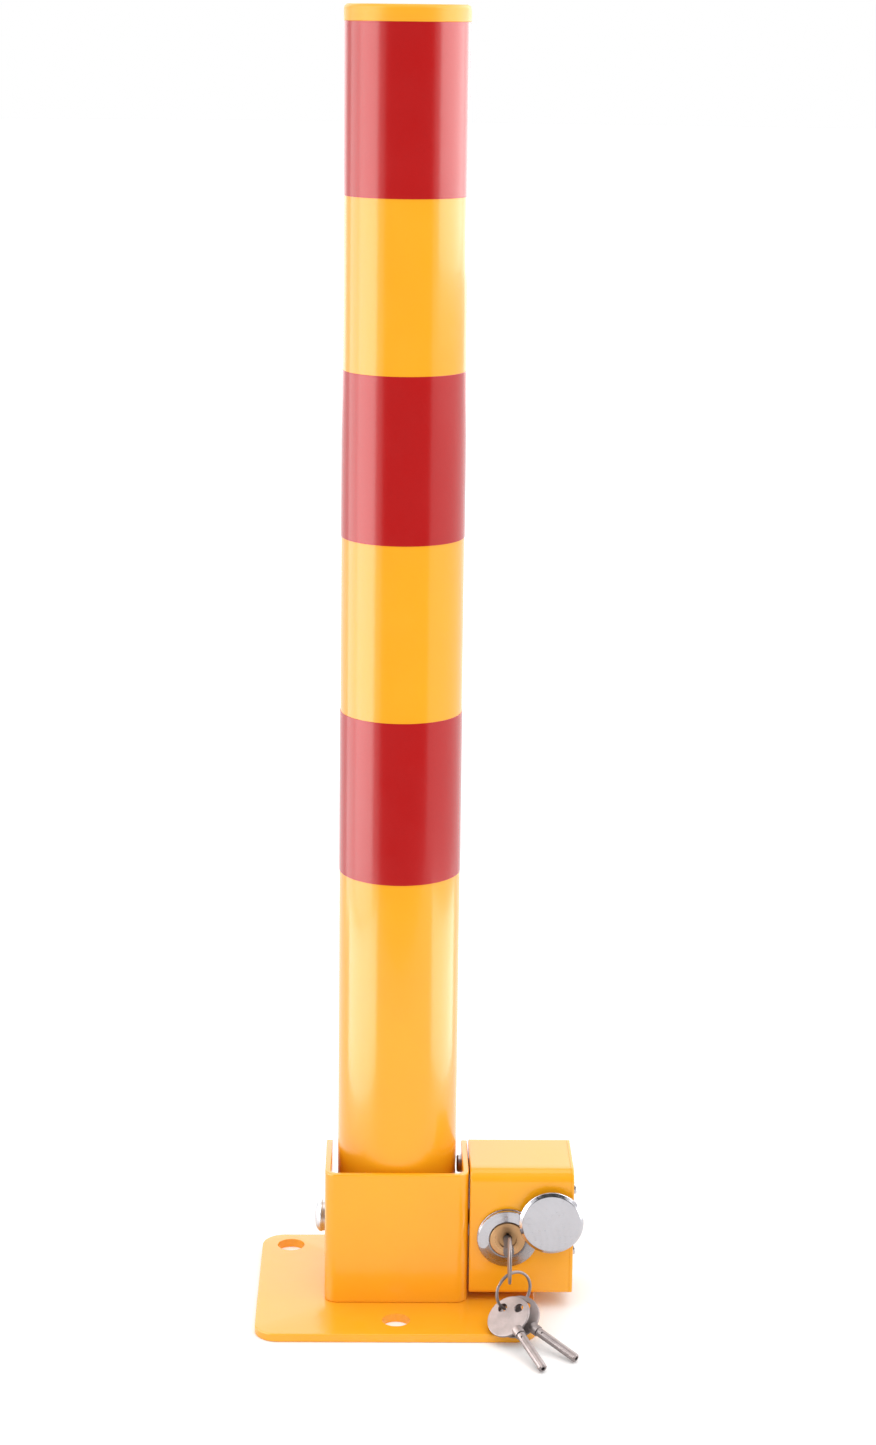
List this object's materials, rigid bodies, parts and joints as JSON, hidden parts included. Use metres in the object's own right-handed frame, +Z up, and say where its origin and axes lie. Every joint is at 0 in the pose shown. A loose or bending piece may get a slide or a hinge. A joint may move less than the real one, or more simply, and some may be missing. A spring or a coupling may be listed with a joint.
{
  "type": "fold-down parking post",
  "caption": "Round yellow and red banded post that folds back on a bolted base plate, with a side lock box, dust cover, key and ring of spare keys.",
  "frame": {"origin": "centre of the base plate's underside, on the ground", "axes": "+Z up along the upright post; the keyed front faces -Y and the lock box is on the +X side; the post folds towards +Y"},
  "size_m": [0.1519, 0.1407, 0.6],
  "materials": {
    "yellow_paint": "glossy yellow powder coat",
    "red_band": "glossy red reflective sheet",
    "yellow_cap": "glossy moulded plastic",
    "zinc": "bright zinc plate",
    "chrome": "polished chrome plate",
    "brass": "turned brass",
    "nylon": "natural nylon",
    "spring_steel": "oiled spring wire",
    "key_nickel": "nickel plate, lightly worn"
  },
  "bodies": {
    "stand": {"base_plate": "yellow_paint", "post_bracket": "yellow_paint", "hinge_bolt": "zinc", "hinge_washers": "zinc", "hinge_nut": "zinc", "lock_housing": "yellow_paint", "housing_end_cover": "yellow_paint", "end_cover_screws": "zinc", "lock_rosette": "chrome", "lock_barrel": "brass", "lock_nut": "brass", "cover_stop": "chrome", "cover_pin": "zinc", "latch_guide": "zinc", "latch_spring": "spring_steel"},
    "post": {"post_tube": "yellow_paint", "post_cap": "yellow_cap", "upper_band": "red_band", "middle_band": "red_band", "lower_band": "red_band", "hinge_sleeve": "zinc", "hinge_bushes": "nylon", "latch_keeper": "zinc"},
    "plug": {"lock_plug": "brass", "lock_cam": "zinc", "cam_screw": "zinc"},
    "latch": {"latch_bolt": "zinc", "latch_carriage": "zinc", "latch_clip": "zinc"},
    "cover": {"dust_cover": "chrome"},
    "key_in_lock": {"lock_key": "key_nickel"},
    "ring": {"key_ring": "key_nickel"},
    "key_a": {"spare_key_a": "key_nickel"},
    "key_b": {"spare_key_b": "key_nickel"}
  },
  "joints": [
    {"name": "post_fold", "type": "hinge", "parent": "stand", "child": "post", "pos_m": [0, 0.0115, 0.033], "axis": [-1, 0, 0], "range_deg": [0, 90]},
    {"name": "plug_turn", "type": "hinge", "parent": "stand", "child": "plug", "pos_m": [0.0517, 0, 0.0361], "axis": [0, -1, 0], "range_deg": [0, 90]},
    {"name": "latch_slide", "type": "slide", "parent": "stand", "child": "latch", "axis": [-1, 0, 0], "range_m": [0, 0.008], "deforming": ["latch_spring"]},
    {"name": "key_pull", "type": "slide", "parent": "plug", "child": "key_in_lock", "axis": [0, -1, 0], "range_m": [0, 0.02]},
    {"name": "ring_swing", "type": "hinge", "parent": "key_in_lock", "child": "ring", "pos_m": [0.0517, -0.046, 0.02955], "axis": [-1, 0, 0], "range_deg": [0, 40]},
    {"name": "spare_key_a_swing", "type": "hinge", "parent": "ring", "child": "key_a", "pos_m": [0.049, -0.04756, 0.01379], "axis": [-0.6824, -0.394, 0.6157], "range_deg": [0, 30]},
    {"name": "spare_key_b_swing", "type": "hinge", "parent": "ring", "child": "key_b", "pos_m": [0.05139, -0.04618, 0.01232], "axis": [-0.2866, -0.5598, 0.7775], "range_deg": [0, 25]},
    {"name": "cover_swing", "type": "hinge", "parent": "stand", "child": "cover", "pos_m": [0.0618, 0, 0.04059], "axis": [0, -1, 0], "range_deg": [-70, 70]}
  ],
  "couplings": [
    {"joint": "latch_slide", "follows": "plug_turn", "m_per_rad": 0.005093}
  ]
}
